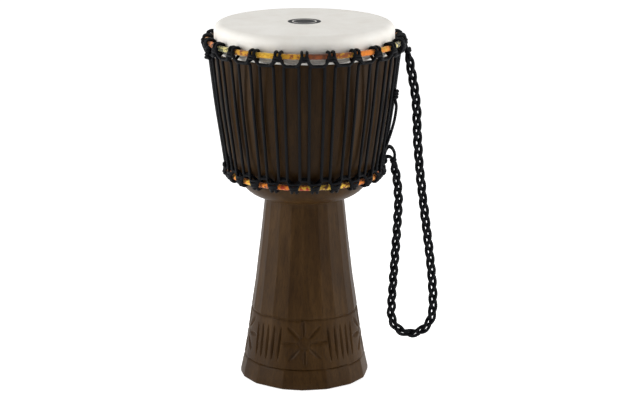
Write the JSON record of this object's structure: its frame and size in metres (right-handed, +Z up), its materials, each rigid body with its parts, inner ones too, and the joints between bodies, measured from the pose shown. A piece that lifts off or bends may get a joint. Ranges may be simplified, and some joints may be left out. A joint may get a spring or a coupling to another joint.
{
  "type": "djembe",
  "caption": "Rope-tensioned goblet drum with a carved wooden shell, skin head, cloth-wrapped rings and a hanging chain-stitched carrying strap.",
  "frame": {"origin": "centre of the foot's underside, on the floor", "axes": "+Z up along the drum's axis to the head, -Y towards the front carving, +X towards the carrying strap"},
  "size_m": [0.3973, 0.34, 0.6102],
  "materials": {
    "wood_shell": "satin dark brown stain",
    "skin": "matte pale skin",
    "head_mark": "printed ink",
    "ring_steel": "plain wire",
    "ring_cloth": "printed cotton, orange and yellow",
    "rope": "braided black cord",
    "strap_rope": "braided black cord, chain stitched"
  },
  "bodies": {
    "drum": {"shell": "wood_shell", "drumhead": "skin", "head_mark": "head_mark", "flesh_ring": "ring_steel", "crown_ring": "ring_steel", "crown_ring_cloth": "ring_cloth", "bottom_ring": "ring_steel", "bottom_ring_cloth": "ring_cloth", "crown_cradle_rope": "rope", "bottom_cradle_rope": "rope", "lacing_rope": "rope", "crown_tie_knot": "rope", "bottom_tie_knot": "rope", "side_knot": "rope", "rope_tail": "rope", "strap_top_tie": "rope", "strap_bottom_tie": "rope"},
    "strap": {"carry_strap": "strap_rope"}
  },
  "joints": [
    {"name": "strap_swing", "type": "hinge", "parent": "drum", "child": "strap", "pos_m": [0.173, 0, 0.556], "axis": [0.1168, 0, 0.9932], "range_deg": [-80, 80]}
  ]
}
